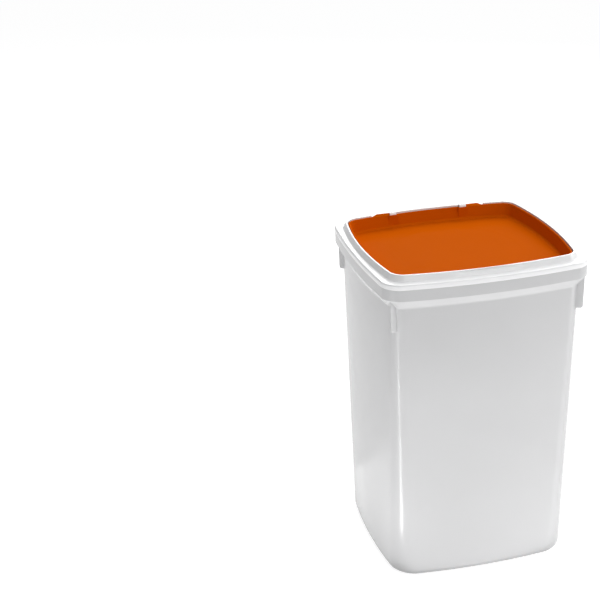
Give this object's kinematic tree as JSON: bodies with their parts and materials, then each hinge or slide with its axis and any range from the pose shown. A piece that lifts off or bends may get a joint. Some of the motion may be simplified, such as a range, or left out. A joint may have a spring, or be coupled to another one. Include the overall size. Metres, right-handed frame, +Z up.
{
  "type": "pet food storage container",
  "caption": "Tall milky storage bin on a foot ring, with a white frame clipped on its rim and an orange tray-shaped flap hinged along its rear edge.",
  "frame": {"origin": "centre of the footprint on the surface that the container stands on", "axes": "+X to the container's right seen from the front, +Y to its rear where the hinge is, +Z up"},
  "size_m": [0.2904, 0.2786, 0.45],
  "materials": {
    "milky_plastic": "satin, milky and slightly translucent",
    "white_plastic": "glossy",
    "orange_plastic": "satin",
    "seal_rubber": "matte"
  },
  "bodies": {
    "container": {"bin_body": "milky_plastic", "lid_frame": "white_plastic", "frame_seal": "seal_rubber"},
    "flap": {"flap_lid": "orange_plastic", "lid_seal": "seal_rubber"}
  },
  "joints": [
    {"name": "flap_hinge", "type": "hinge", "parent": "container", "child": "flap", "pos_m": [0, 0.12, 0.446], "axis": [-1, 0, 0], "range_deg": [0, 105]}
  ]
}
